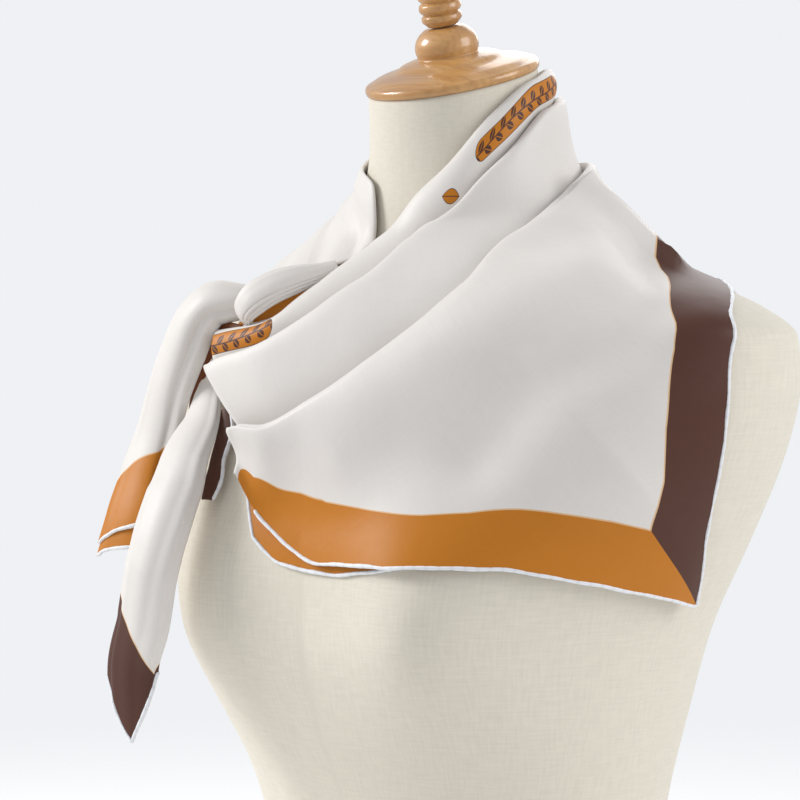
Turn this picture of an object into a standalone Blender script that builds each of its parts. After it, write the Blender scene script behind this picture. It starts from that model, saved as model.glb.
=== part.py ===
"""A silk square scarf, folded on its diagonal and knotted at the front of a limbless linen dress form.

The form stands on its flat underside at z = 0, faces -Y and has its own left at +X. A place on
the scarf is told by the form under it: turn is degrees round the form from its front, + towards
its left; level is the height of the form's ring there; lift is how far the cloth stands off the
linen. Tables and sizes are in millimetres and degrees, and MM turns them into metres.
"""

import bpy
import math
import numpy as np

MM = 0.001

# Driving sizes
CLOTH = 1.2                 # thickness of a wall of folded silk
SEAM_GAP = 0.3              # clear space between neighbouring solids
BACK_SHIFT, WRAP_SHIFT = 0.3, 0.3     # how far each stretch of cloth starts past the end of the last
LEAST_LIFT = 2.0            # the nearest that the cloth's middle comes to the linen
NECK_TILT = 16.0            # the neck's top leans forward by this much

# The dress form, a row for each ring: level, middle y, forward tilt, half width, depth in
# front, depth behind, squareness (2 is an ellipse)
FORM_RINGS = (
    (0, 4, 0, 150, 104, 108, 2.20),
    (42, 4, 0, 140, 99, 99, 2.15),
    (88, 3, 0, 125, 93, 87, 2.10),
    (130, 1, 0, 119, 92, 81, 2.10),
    (175, 0, 0, 125, 104, 85, 2.10),
    (225, 0, 0, 138, 126, 93, 2.10),
    (272, 0, 0, 152, 138, 100, 2.15),
    (318, 0, 0, 175, 134, 106, 2.20),
    (365, 0, 0, 196, 120, 108, 2.30),
    (402, 0, 0, 206, 104, 105, 2.35),
    (428, -1, 0, 207, 90, 97, 2.35),
    (445, -2, 1, 184, 78, 87, 2.30),
    (460, -3, 3, 142, 67, 75, 2.20),
    (475, -4, 7, 109, 58, 65, 2.10),
    (492, -6, 12, 77, 51, 55, 2.00),
    (514, -9, NECK_TILT, 58, 48, 49, 2.00),
    (537, -10, NECK_TILT, 50, 47, 47.5, 2.00),
    (570, -12, NECK_TILT, 48, 48, 48, 2.00),
)
BUST_SIDE, BUST_LEVEL, BUST_RISE, BUST_WIDE, BUST_TALL = 86.0, 276.0, 25.0, 46.0, 60.0
FORM_TURNS = 36             # facets round the form
FORM_LEVELS = (0, 28, 58, 88, 116, 146, 175, 200, 225, 248, 272, 295, 318, 342, 365, 385, 402, 416, 428, 437,
               445, 452, 460, 467, 475, 483, 492, 503, 514, 530, 570)

# The scarf round the shoulders, a row for each section across it: turn, level, lift. The
# sections run from the knot over the form's left shoulder, round the back and over its right
# shoulder to the knot again. Section 6 meets the scarf's corner.
CORNER_SECTION = 6
NECK_FOLD = (
    (-41, 419, 26),
    (-25, 424, 26),
    (-19.5, 438, 22),
    (-13, 462, 17),
    (-3, 487, 14),
    (12, 511, 11),
    (33, 529, 9),
    (60, 553, 7.5),
    (92, 566, 7),
    (124, 567, 7),
    (162, 560, 7),
    (205, 546, 7.5),
    (248, 531, 7),
    (297, 528, 3.8),
    (331, 523, 3.8),
    (342, 484, 5),
)
SECOND_FOLD = (
    (-38, 400, 29),
    (-23.5, 407, 30),
    (-8, 424, 28),
    (3, 437, 26),
    (13, 451, 24),
    (25, 477, 22),
    (40, 501, 20),
    (62, 525, 16),
    (96, 549, 13),
    (130, 550, 12),
    (165, 540, 12),
    (206, 526, 12),
    (247, 513, 12),
    (287, 506, 6.8),
    (317, 496, 6.5),
    (331, 468, 8),
)
THIRD_FOLD = (
    (-22, 369, 25.5),
    (-11.5, 368, 27),
    (3, 381, 27),
    (14, 394, 27),
    (24, 409, 26),
    (34, 423, 25),
    (44, 438, 24),
    (60, 468.7, 22.3),
    (94.6, 498, 14.6),
    (128, 503, 19),
    (166, 503, 16),
    (206, 497, 15),
    (246, 495, 13),
    (281, 492, 9.5),
    (303, 479, 9),
    (319, 459, 10),
)
# The sections where the hem's rows lie
HEM_SECTIONS = (0, 1, 2, 3, 4, 5, 6, 6.5, 7, 7.5, 7.75, 8, 9, 10, 11, 12, 13, 14, 15)
HEM = (
    (-19, 347, 15),
    (-10.5, 326, 8),
    (6.5, 308, 6.2),
    (26, 308, 6.2),
    (45, 310, 5.2),
    (64, 302, 5),
    (86, 289, 6.5),
    (81, 336, 5.5),
    (79.8, 396, 4),
    (81.3, 428, 3.8),
    (85.5, 442, 3.5),
    (104.5, 454, 3.2),
    (124, 430, 2.7),
    (166, 412, 2.2),
    (212, 428, 2.6),
    (252, 466, 4),
    (277, 480, 5),
    (294, 464, 5),
    (307, 451, 7),
)
# How deep the folds are at each section, as a share of their depth at the front, and the same
# for the neck fold
FOLD_DEPTH = (0.8, 1, 1, 0.95, 0.9, 0.8, 0.75, 0.6, 0.5, 0.45, 0.42, 0.42, 0.32, 0.12, 0.10, 0.10)
NECK_DEPTH = (0.8, 1, 1, 0.95, 0.9, 0.8, 0.75, 0.6, 0.5, 0.45, 0.42, 0.42, 0.38, 0.2, 0.15, 0.15)

# The way across the scarf: along is 0 at the neck fold, 1 and 2 at the next folds and 3 at the
# hem; rise is how far the cloth bulges over, or sinks under, a straight line between them
ACROSS = (
    (0.20, -11),
    (0.10, -11),
    (-0.04, -8),
    (-0.06, 0),
    (0.08, 3),
    (0.34, 3),
    (0.66, -2),
    (0.88, -9),
    (0.99, -12),
    (0.97, -5),
    (0.98, 1),
    (1.10, 3),
    (1.36, 1),
    (1.68, -5),
    (1.90, -11),
    (2.00, -13),
    (1.98, -5),
    (1.99, 1),
    (2.07, 3),
    (2.20, 1),
    (2.36, -4),
    (2.54, -7),
    (2.72, -6),
    (2.88, -2.5),
    (3.00, 0),
)
# Where the neck fold ends along the way across, and how long the change to the main folds takes
PLAIN_FROM, PLAIN_CHANGE = 0.34, 0.3
TIP_DROP, TIP_TURN, TIP_LENGTH = 0.5, 0.5, 0.6      # how the folds' ends beside the knot round off
PLAIN_DEPTH, GATHERED_DEPTH = 0.1, 0.35              # folds this shallow lie plain, this deep are full
ROLL_RADIUS, ROLL_TURN = 2.4, math.radians(60)       # how the cloth turns inwards at the knot
ROLL_EASE, ROLL_LEAST = 5, 0.5                       # points it takes to reach that radius, from this share
# Where the scarf is parted into its stretches, in sections
FRONT_END, BACK_END, WRAP_END = 8.5, 12.3, 15.0

# Long soft creases, a row each: turn and level of the places it runs through, half width, rise
# (- is a trough)
CREASES = (
    (((91, 483), (46, 423), (12, 364)), 20, 4.5),
    (((86, 466), (57.7, 409), (41.7, 365)), 17, -6.5),
    (((96.5, 497.7), (95.8, 464.7)), 9, 8.9),
    (((130, 480), (180, 452)), 18, 2.5),
    (((165, 525), (250, 478)), 16, 2.5),
    (((-21, 356), (-14, 348)), 16, 6),
)
CREASE_STEPS = 40           # places along a crease that its distance is measured to

# The folded scarf's second layer, showing under the first one's hem beside the knot, a row for
# each section: turn and level of its hem, turn and level of its upper edge
UNDER_LAYER = (
    (-15.5, 319, -23, 352),
    (-11, 312, -17, 354),
    (-5.5, 306, -8, 354),
    (7.5, 303, 8, 345),
    (21.5, 306, 22, 340),
    (34, 312, 34, 338),
)
UNDER_LIFT = 1.4

# Hanging and knotted stretches, a row for each station along the middle: x, y, z, width,
# depth, and how many degrees of the round the cloth wraps
KNOT_BAND = (
    (-25.6, -82, 465.5, 8, 6, 170),
    (-31, -91, 462, 11.5, 8, 180),
    (-38, -101.5, 458.8, 15.5, 10, 190),
    (-46, -110, 454.8, 18, 11, 195),
    (-54, -115.5, 449.2, 18.5, 11, 200),
    (-60.5, -117.5, 442.7, 15.5, 9, 200),
    (-65, -112.5, 436.7, 9, 5, 190),
)
KNOT_HEM = (
    (-32, -94, 452.5, 7, 3, 140),
    (-41, -101, 448.3, 12, 5, 150),
    (-53, -107, 441.6, 11, 5, 150),
    (-65, -109.5, 436.5, 6, 3, 140),
    (-71, -110.5, 433.5, 3, 2, 130),
)
TAIL_ORANGE = (
    (-59.5, -100.8, 446.5, 14, 8, 215),
    (-83.5, -112.8, 446, 23, 14, 240),
    (-97.5, -116.8, 437, 27, 15, 240),
    (-107.5, -117.8, 420, 29, 14, 230),
    (-119.6, -117, 396, 29, 11, 200),
    (-125.5, -119.2, 372, 31, 9, 185),
    (-128.6, -125.2, 350, 36, 10, 180),
    (-129, -134, 326, 40, 10, 175),
    (-133, -141, 300, 40, 9, 165),
)
TAIL_BROWN = (
    (-82.4, -113.9, 413.3, 11, 4, 150),
    (-96, -107, 405, 14, 4, 155),
    (-95, -111, 395, 18, 5, 170),
    (-90.5, -122, 380, 26, 7, 190),
    (-88, -137, 362, 31, 10, 215),
    (-84.5, -149, 344, 35, 13, 230),
    (-84, -158, 327, 35, 14, 230),
    (-84.5, -164, 311, 34, 14, 220),
    (-86.5, -167, 295, 34, 14, 210),
    (-92, -166, 272, 35, 13, 200),
    (-102, -163, 245, 35, 11, 185),
    (-104, -160, 206, 33, 9, 165),
)
TAIL_BROWN_LINING = (
    (-77, -115, 387, 7, 3, 120),
    (-74.5, -118.5, 375, 11, 3, 120),
    (-74, -125, 361, 10, 3, 120),
    (-71.5, -131, 349, 13, 3, 120),
    (-71, -137, 338, 8, 3, 110),
)
# Where the hanging ends are cut: the place across, from -1 to 1, and the row of the table above
ORANGE_END = ((-1, 6.6), (-0.3, 7.1), (1, 7.75))
BROWN_END = ((-1, 9.85), (-0.05, 11.0), (1, 10.15))
FACING = (0.12, -0.98, 0.12)         # the way that hanging cloth shows its round side
PLEAT_COUNT, PLEAT_DEPTH, PLEAT_PHASE = 3, 0.08, 0.7

# How finely each stretch is meshed: stations along it, points across it
ACROSS_COUNT = 27
FRONT_SECTIONS, ROLL_STEPS, BACK_SECTIONS, WRAP_SECTIONS = 31, 2, 13, 9
UNDER_COUNTS, BAND_COUNTS, STRIP_COUNTS = (14, 5), (10, 9), (9, 7)
TAIL_COUNTS, SECOND_TAIL_COUNTS, LINING_COUNTS = (17, 11), (18, 11), (9, 6)
CAP_STEPS, FINIAL_STEPS = 24, 16

# The wooden neck cap and finial, turned: a row for each ring down the outside: radius, height
CAP_PROFILE = (
    (0, 31.0), (9, 30.7), (13.5, 28.6), (17, 24.2), (18, 19.2), (17.2, 15.0), (20.5, 14.2),
    (27, 12.4), (31, 10.2), (37, 8.8), (42, 7.6), (46, 5.8), (48.6, 4.6), (49.4, 2.4), (48.6, 0), (0, 0),
)
FINIAL_PROFILE = (
    (0, 46), (6, 45.2), (10.6, 42), (13, 37), (13.4, 32), (11.6, 26.5), (8.6, 22.5), (8.2, 20.5),
    (11.2, 19.2), (11.8, 17), (10.6, 14.8), (9.8, 14.2), (11.6, 12.6), (12, 10.2), (10.8, 8),
    (9.8, 7.4), (11.2, 6), (11.4, 4), (10, 2), (7, 0), (0, 0),
)


def material(name, colour, roughness):
    """A plain Principled material."""
    made = bpy.data.materials.new(name)
    made.use_nodes = True
    shader = made.node_tree.nodes["Principled BSDF"]
    shader.inputs["Base Color"].default_value = (*colour, 1.0)
    shader.inputs["Roughness"].default_value = roughness
    made.diffuse_color = (*colour, 1.0)
    return made


def glide(rows, at):
    """A smooth curve through a table's rows at row numbers, which may lie between rows.

    Each stretch is a cubic whose slope at a row is the mean of its two neighbours, held back
    where it would swing past a row."""
    rows, at = np.asarray(rows, float), np.atleast_1d(np.asarray(at, float))
    step = np.diff(rows, axis=0)
    slope = np.vstack([step[:1], (step[1:] + step[:-1]) / 2, step[-1:]])
    bound = 2 * np.minimum(np.abs(step[1:]), np.abs(step[:-1]))
    slope[1:-1] = np.where(step[1:] * step[:-1] > 0, np.clip(slope[1:-1], -bound, bound), 0)
    i = np.clip(np.floor(at).astype(int), 0, len(rows) - 2)
    s = (at - i)[:, None]
    return ((1 + 2 * s) * (1 - s) ** 2 * rows[i] + s * (1 - s) ** 2 * slope[i]
            + s * s * (3 - 2 * s) * rows[i + 1] + s * s * (s - 1) * slope[i + 1])


def ring_at(level):
    """The dress form's ring table, read smoothly at any levels."""
    rings = np.array(FORM_RINGS, float)
    row = np.interp(level, rings[:, 0], np.arange(len(rings)))
    step = np.diff(rings[:, 1:], axis=0) / np.diff(rings[:, :1], axis=0)
    slope = np.vstack([step[:1], (step[1:] + step[:-1]) / 2, step[-1:]])
    bound = 2.5 * np.minimum(np.abs(step[1:]), np.abs(step[:-1]))
    slope[1:-1] = np.where(step[1:] * step[:-1] > 0, np.clip(slope[1:-1], -bound, bound), 0)
    i = np.clip(np.floor(row).astype(int), 0, len(rings) - 2)
    s, tall = (row - i)[:, None], (rings[i + 1, 0] - rings[i, 0])[:, None]
    a, b = rings[i, 1:], rings[i + 1, 1:]
    return ((1 + 2 * s) * (1 - s) ** 2 * a + s * (1 - s) ** 2 * tall * slope[i]
            + s * s * (3 - 2 * s) * b + s * s * (s - 1) * tall * slope[i + 1])


def skin(turn, level):
    """Points of the dress form: rings of changing width and squareness, with two soft lobes."""
    turn, level = np.broadcast_arrays(np.asarray(turn, float), np.asarray(level, float))
    middle, tilt, wide, front, behind, square = ring_at(level.ravel()).T
    angle = np.radians(turn.ravel())
    side, ahead = np.sin(angle), np.cos(angle)
    deep = np.where(ahead > 0, front, behind)
    reach = (np.abs(side / wide) ** square + np.abs(ahead / deep) ** square) ** (-1 / square)
    x = reach * side
    lobe = np.exp(-((np.abs(x) - BUST_SIDE) / BUST_WIDE) ** 2
                  - ((level.ravel() - BUST_LEVEL) / BUST_TALL) ** 2)
    y = -reach * ahead - BUST_RISE * lobe * np.sqrt(np.clip(ahead, 0, 1))
    lean = np.radians(tilt)
    points = np.stack([x, middle + y * np.cos(lean), level.ravel() + y * np.sin(lean)], -1)
    return points.reshape(turn.shape + (3,))


def on_form(turn, level, lift):
    """Points that stand off the dress form by lift, along its outward normal."""
    round_step, up_step = 0.4, 1.0
    around = skin(turn + round_step, level) - skin(turn - round_step, level)
    upward = skin(turn, level + up_step) - skin(turn, level - up_step)
    normal = np.cross(around, upward)
    normal /= np.linalg.norm(normal, axis=-1, keepdims=True)
    return skin(turn, level) + normal * np.asarray(lift)[..., None]


def b_spline(rows, count):
    """Points along a clamped uniform cubic B-spline over a table's rows."""
    rows = np.asarray(rows, float)
    rows = np.vstack([rows[:1], rows[:1], rows, rows[-1:], rows[-1:]])
    at = np.linspace(0, len(rows) - 3, count)
    i = np.minimum(at.astype(int), len(rows) - 4)
    s = (at - i)[:, None]
    return ((1 - s) ** 3 * rows[i] + (3 * s ** 3 - 6 * s ** 2 + 4) * rows[i + 1]
            + (-3 * s ** 3 + 3 * s ** 2 + 3 * s + 1) * rows[i + 2] + s ** 3 * rows[i + 3]) / 6


def hem_at(section):
    """The hem's turn, level and lift: two smooth curves that meet in the scarf's corner."""
    row = np.interp(section, HEM_SECTIONS, np.arange(len(HEM)))
    before = glide(HEM[:CORNER_SECTION + 1], np.minimum(row, CORNER_SECTION))
    after = glide(HEM[CORNER_SECTION:], np.maximum(row, CORNER_SECTION) - CORNER_SECTION)
    return np.where((section <= CORNER_SECTION)[:, None], before, after)


def crease_rise(points):
    """How far the long soft creases raise or lower the cloth: a bell curve of the distance to
    the nearest place on each crease's line."""
    rise = np.zeros(points.shape[:-1])
    for places, half_width, height in CREASES:
        turn, level = glide(places, np.linspace(0, len(places) - 1, CREASE_STEPS)).T
        away = np.linalg.norm(points[..., None, :] - skin(turn, level), axis=-1).min(-1)
        rise += height * np.exp(-(away / half_width) ** 2)
    return rise


def scarf_grid(sections):
    """The scarf round the shoulders as a grid of points, a row for each section.

    Four rails are joined by the curve across them. Where the folds run out, the curve's places
    turn into evenly spread ones, so it lies plain."""
    sections = np.asarray(sections, float)
    rails = np.stack([glide(NECK_FOLD, sections), glide(SECOND_FOLD, sections),
                      glide(THIRD_FOLD, sections), hem_at(sections)], 1)
    tip = np.clip(1 - sections / TIP_LENGTH, 0, 1)[:, None, None] ** 2
    rails[:, 1:3, :2] += tip * np.array([TIP_TURN, -TIP_DROP])
    depth = np.interp(sections, np.arange(len(FOLD_DEPTH)), FOLD_DEPTH)[:, None]
    neck_depth = np.interp(sections, np.arange(len(NECK_DEPTH)), NECK_DEPTH)[:, None]
    folded, rise = b_spline(ACROSS, ACROSS_COUNT).T
    first = int(np.argmax((folded > PLAIN_FROM) & (np.arange(ACROSS_COUNT) > np.argmin(folded))))
    plain = folded.copy()
    plain[first:] = np.linspace(folded[first], folded[-1], ACROSS_COUNT - first)
    gathered = np.clip((depth - PLAIN_DEPTH) / (GATHERED_DEPTH - PLAIN_DEPTH), 0, 1)
    along = folded[None] * gathered + plain[None] * (1 - gathered)
    rail = np.clip(np.floor(along).astype(int), 0, 2)
    share = (along - rail)[..., None]
    row = np.arange(len(sections))[:, None]
    place = rails[row, rail] * (1 - share) + rails[row, rail + 1] * share
    beyond = np.clip((plain - PLAIN_FROM) / PLAIN_CHANGE, 0, 1)[None]
    lift = place[..., 2] + rise[None] * (neck_depth * (1 - beyond) + depth * beyond)
    lift = lift + crease_rise(skin(place[..., 0], place[..., 1])) * (along > 2)
    spare = lift - LEAST_LIFT
    lift = LEAST_LIFT + (spare + np.sqrt(spare ** 2 + 1.0)) / 2
    return place[..., 0], place[..., 1], lift


def rolled_end(turn, level, lift, steps):
    """Rows that turn the cloth's first section inwards in a half round, so the end is a fold."""
    place = np.arange(turn.shape[1])
    radius = ROLL_RADIUS * np.clip(np.minimum(place, place[::-1]) / ROLL_EASE, ROLL_LEAST, 1)
    reach = np.linalg.norm(skin(turn[0], level[0])[..., :2], axis=-1)
    rows = []
    for k in range(steps, 0, -1):
        angle = ROLL_TURN * k / steps
        rows.append((turn[0] - np.degrees(radius * math.sin(angle) / reach), level[0],
                     lift[0] - radius * (1 - math.cos(angle))))
    return [np.vstack([[row[j] for row in rows], grid]) for j, grid in enumerate((turn, level, lift))]


def parted(points, shift):
    """The same grid, its first row moved square off the seam so that a gap stays open there."""
    seam = np.gradient(points[0], axis=0)
    seam /= np.linalg.norm(seam, axis=-1, keepdims=True)
    way = points[1] - points[0]
    way -= np.sum(way * seam, axis=-1, keepdims=True) * seam
    points[0] += way / np.linalg.norm(way, axis=-1, keepdims=True) * shift
    return points


def hanging_grid(rows, counts, end=None):
    """A stretch of hanging cloth: an open round section carried along a smooth middle line. Its
    far end is cut where the end table says."""
    stations, around_count = counts
    edge = np.linspace(-1, 1, around_count)
    last = len(rows) - 1
    until = np.interp(edge, *np.array(end, float).T) if end else np.full(around_count, last)
    at = np.linspace(0, 1, stations)[:, None] * until[None]
    path = glide(rows, at.ravel()).reshape(stations, around_count, 6)
    ahead = glide(rows, np.minimum(at.ravel() + 0.05, last))
    behind = glide(rows, np.maximum(at.ravel() - 0.05, 0))
    tangent = (ahead - behind)[:, :3].reshape(stations, around_count, 3)
    tangent /= np.linalg.norm(tangent, axis=-1, keepdims=True)
    out = np.array(FACING) - (tangent @ np.array(FACING))[..., None] * tangent
    out /= np.linalg.norm(out, axis=-1, keepdims=True)
    side = np.cross(tangent, out)
    angle = np.radians(path[..., 5] / 2) * edge[None]
    swell = 1 + PLEAT_DEPTH * np.cos(PLEAT_COUNT * angle + PLEAT_PHASE)
    across = path[..., 3] / 2 * np.sin(angle) * swell
    outward = path[..., 4] / 2 * np.cos(angle) * swell
    return path[..., :3] + side * across[..., None] + out * outward[..., None]


def mesh_object(name, vertices, faces, finish):
    """A mesh object in the scarf's collection, from points in millimetres."""
    mesh = bpy.data.meshes.new(name)
    mesh.from_pydata([tuple(p) for p in np.asarray(vertices) * MM], [], faces)
    mesh.materials.append(finish)
    mesh.shade_smooth()
    made = bpy.data.objects.new(name, mesh)
    bpy.data.collections["silk_square_scarf"].objects.link(made)
    return made


def cloth(name, grid, finish):
    """A wall of cloth over a grid of points."""
    rows, columns = grid.shape[:2]
    faces = [(i * columns + j, i * columns + j + 1, (i + 1) * columns + j + 1, (i + 1) * columns + j)
             for i in range(rows - 1) for j in range(columns - 1)]
    made = mesh_object(name, grid.reshape(-1, 3), faces, finish)
    wall = made.modifiers.new("wall", "SOLIDIFY")
    wall.thickness = CLOTH * MM
    wall.offset = 0.0
    return made


def dress_form(finish):
    """The limbless form: rings lofted from its flat underside to the slanting top of the neck."""
    turns = np.arange(FORM_TURNS) * 360 / FORM_TURNS
    levels = np.array(FORM_LEVELS, float)
    grid = skin(turns[None, :], levels[:, None])
    rows = len(levels)
    faces = [(i * FORM_TURNS + j, i * FORM_TURNS + (j + 1) % FORM_TURNS,
              (i + 1) * FORM_TURNS + (j + 1) % FORM_TURNS, (i + 1) * FORM_TURNS + j)
             for i in range(rows - 1) for j in range(FORM_TURNS)]
    faces.append(tuple(reversed(range(FORM_TURNS))))
    faces.append(tuple(range((rows - 1) * FORM_TURNS, rows * FORM_TURNS)))
    return mesh_object("form_body", grid.reshape(-1, 3), faces, finish)


def turned(name, profile, base, steps, finish):
    """A turned wooden piece standing on the neck's slanting top, base up its axis."""
    edges = [(i, i + 1) for i in range(len(profile) - 1)]
    mesh = bpy.data.meshes.new(name)
    mesh.from_pydata([(r * MM, 0, z * MM) for r, z in profile], edges, [])
    mesh.materials.append(finish)
    made = bpy.data.objects.new(name, mesh)
    bpy.data.collections["silk_square_scarf"].objects.link(made)
    screw = made.modifiers.new("turned", "SCREW")
    screw.steps = screw.render_steps = steps
    screw.use_merge_vertices = True
    screw.merge_threshold = 0.00005
    screw.use_smooth_shade = True
    weld = made.modifiers.new("weld", "WELD")
    weld.merge_threshold = 0.00005
    lean = math.radians(NECK_TILT)
    level, middle = FORM_RINGS[-1][:2]
    made.location = (0, (middle - base * math.sin(lean)) * MM, (level + base * math.cos(lean)) * MM)
    made.rotation_euler = (lean, 0, 0)
    return made


def build():
    """Every piece of the form and of the scarf."""
    for old in list(bpy.data.objects):
        bpy.data.objects.remove(old, do_unlink=True)
    collection = bpy.data.collections.new("silk_square_scarf")
    bpy.context.scene.collection.children.link(collection)

    silk = material("silk", (0.80, 0.77, 0.73), 0.42)
    orange_silk = material("orange_silk", (0.60, 0.26, 0.04), 0.42)
    brown_silk = material("brown_silk", (0.09, 0.04, 0.03), 0.42)
    linen = material("linen", (0.76, 0.69, 0.57), 0.9)
    wood = material("wood", (0.62, 0.38, 0.18), 0.4)

    dress_form(linen)
    turned("neck_cap", CAP_PROFILE, SEAM_GAP, CAP_STEPS, wood)
    turned("finial", FINIAL_PROFILE, SEAM_GAP * 2 + CAP_PROFILE[0][1], FINIAL_STEPS, wood)

    front = scarf_grid(np.linspace(0, FRONT_END, FRONT_SECTIONS))
    cloth("drape_front", on_form(*rolled_end(*front, ROLL_STEPS)), silk)
    back = on_form(*scarf_grid(np.linspace(FRONT_END, BACK_END, BACK_SECTIONS)))
    cloth("drape_back", parted(back, BACK_SHIFT), silk)
    wrap = on_form(*scarf_grid(np.linspace(BACK_END, WRAP_END, WRAP_SECTIONS)))
    cloth("wrap_right", parted(wrap, WRAP_SHIFT), silk)

    under = glide(UNDER_LAYER, np.linspace(0, len(UNDER_LAYER) - 1, UNDER_COUNTS[0]))
    share = np.linspace(0, 1, UNDER_COUNTS[1])[None, :]
    turn = under[:, 2:3] * (1 - share) + under[:, 0:1] * share
    level = under[:, 3:4] * (1 - share) + under[:, 1:2] * share
    cloth("under_layer", on_form(turn, level, np.full(turn.shape, UNDER_LIFT)), orange_silk)

    cloth("knot_band", hanging_grid(KNOT_BAND, BAND_COUNTS), silk)
    cloth("knot_hem", hanging_grid(KNOT_HEM, STRIP_COUNTS), orange_silk)
    cloth("tail_orange", hanging_grid(TAIL_ORANGE, TAIL_COUNTS, ORANGE_END), silk)
    cloth("tail_brown", hanging_grid(TAIL_BROWN, SECOND_TAIL_COUNTS, BROWN_END), silk)
    cloth("tail_brown_lining", hanging_grid(TAIL_BROWN_LINING, LINING_COUNTS), brown_silk)


build()
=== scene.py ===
"""A silk square scarf on a limbless linen dress form, built as surfaces worked out with numpy.

The form stands on its flat underside at z = 0, faces -Y and has its own left at +X. A place on the
scarf is told by the form under it: turn is degrees round the form from its front, + towards its
left; level is the height of the form's ring there; lift is how far the cloth stands off the linen.
Tables are in millimetres and degrees.
"""

import math

import bpy
import numpy as np
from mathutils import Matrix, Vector


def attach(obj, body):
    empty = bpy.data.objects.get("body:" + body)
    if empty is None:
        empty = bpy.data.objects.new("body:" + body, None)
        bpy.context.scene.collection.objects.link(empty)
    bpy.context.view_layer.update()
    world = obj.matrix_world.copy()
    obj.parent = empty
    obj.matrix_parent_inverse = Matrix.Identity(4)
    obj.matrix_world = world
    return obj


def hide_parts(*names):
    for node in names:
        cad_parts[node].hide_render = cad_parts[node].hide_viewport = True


bl_info = {
    "name": "Silk square scarf on a dress form",
    "version": (1, 0, 0),
    "blender": (4, 5, 0),
    "location": "3D View > Sidebar > Scarf",
    "description": "Builds a folded silk square knotted round a linen dress form",
    "category": "Add Mesh",
}

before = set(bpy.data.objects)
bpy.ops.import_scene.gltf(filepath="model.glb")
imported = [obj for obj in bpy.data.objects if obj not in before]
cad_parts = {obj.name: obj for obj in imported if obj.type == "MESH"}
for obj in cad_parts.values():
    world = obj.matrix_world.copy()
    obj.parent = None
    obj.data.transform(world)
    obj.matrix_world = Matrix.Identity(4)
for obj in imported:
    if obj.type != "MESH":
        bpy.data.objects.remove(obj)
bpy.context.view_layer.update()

MM = 0.001

# The dress form, a row for each ring: level, middle y, forward tilt, half width, depth in
# front, depth behind, squareness (2 is an ellipse)
NECK_TILT = 16.0
FORM_RINGS = (
    (0, 4, 0, 150, 104, 108, 2.20),
    (42, 4, 0, 140, 99, 99, 2.15),
    (88, 3, 0, 125, 93, 87, 2.10),
    (130, 1, 0, 119, 92, 81, 2.10),
    (175, 0, 0, 125, 104, 85, 2.10),
    (225, 0, 0, 138, 126, 93, 2.10),
    (272, 0, 0, 152, 138, 100, 2.15),
    (318, 0, 0, 175, 134, 106, 2.20),
    (365, 0, 0, 196, 120, 108, 2.30),
    (402, 0, 0, 206, 104, 105, 2.35),
    (428, -1, 0, 207, 90, 97, 2.35),
    (445, -2, 1, 184, 78, 87, 2.30),
    (460, -3, 3, 142, 67, 75, 2.20),
    (475, -4, 7, 109, 58, 65, 2.10),
    (492, -6, 12, 77, 51, 55, 2.00),
    (514, -9, NECK_TILT, 58, 48, 49, 2.00),
    (537, -10, NECK_TILT, 50, 47, 47.5, 2.00),
    (570, -12, NECK_TILT, 48, 48, 48, 2.00),
)
BUST_SIDE, BUST_LEVEL, BUST_RISE, BUST_WIDE, BUST_TALL = 86.0, 276.0, 25.0, 46.0, 60.0
LEAST_LIFT = 2.0

# The scarf round the shoulders, a row for each section across it: turn, level, lift. The
# sections run from the knot over the form's left shoulder, round the back and over its right
# shoulder to the knot again. Section 6 meets the scarf's corner.
CORNER_SECTION = 6
LAST_SECTION = 15.0
NECK_FOLD = (
    (-41, 419, 26), (-25, 424, 26), (-19.5, 438, 22), (-13, 462, 17),
    (-3, 487, 14), (12, 511, 11), (33, 529, 9), (60, 553, 7.5),
    (92, 566, 7), (124, 567, 7), (162, 560, 7), (205, 546, 7.5),
    (248, 531, 7), (297, 528, 3.8), (331, 523, 3.8), (342, 484, 5),
)
SECOND_FOLD = (
    (-38, 400, 29), (-23.5, 407, 30), (-8, 424, 28), (3, 437, 26),
    (13, 451, 24), (25, 477, 22), (40, 501, 20), (62, 525, 16),
    (96, 549, 13), (130, 550, 12), (165, 540, 12), (206, 526, 12),
    (247, 513, 12), (287, 506, 6.8), (317, 496, 6.5), (331, 468, 8),
)
THIRD_FOLD = (
    (-22, 369, 25.5), (-11.5, 368, 27), (3, 381, 27), (14, 394, 27),
    (24, 409, 26), (34, 423, 25), (44, 438, 24), (60, 468.7, 22.3),
    (94.6, 498, 14.6), (128, 503, 19), (166, 503, 16), (206, 497, 15),
    (246, 495, 13), (281, 492, 9.5), (303, 479, 9), (319, 459, 10),
)
HEM_SECTIONS = (0, 1, 2, 3, 4, 5, 6, 6.5, 7, 7.5, 7.75, 8, 9, 10, 11, 12, 13, 14, 15)
HEM = (
    (-19, 347, 15), (-10.5, 326, 8), (6.5, 308, 6.2), (26, 308, 6.2),
    (45, 310, 5.2), (64, 302, 5), (86, 289, 6.5), (81, 336, 5.5),
    (79.8, 396, 4), (81.3, 428, 3.8), (85.5, 442, 3.5), (104.5, 454, 3.2),
    (124, 430, 2.7), (166, 412, 2.2), (212, 428, 2.6), (252, 466, 4),
    (277, 480, 5), (294, 464, 5), (307, 451, 7),
)
# How deep the folds are at each section, as a share of their depth at the front
FOLD_DEPTH = (0.8, 1, 1, 0.95, 0.9, 0.8, 0.75, 0.6, 0.5, 0.45, 0.42, 0.42, 0.32, 0.12, 0.10, 0.10)
NECK_DEPTH = (0.8, 1, 1, 0.95, 0.9, 0.8, 0.75, 0.6, 0.5, 0.45, 0.42, 0.42, 0.38, 0.2, 0.15, 0.15)

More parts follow.
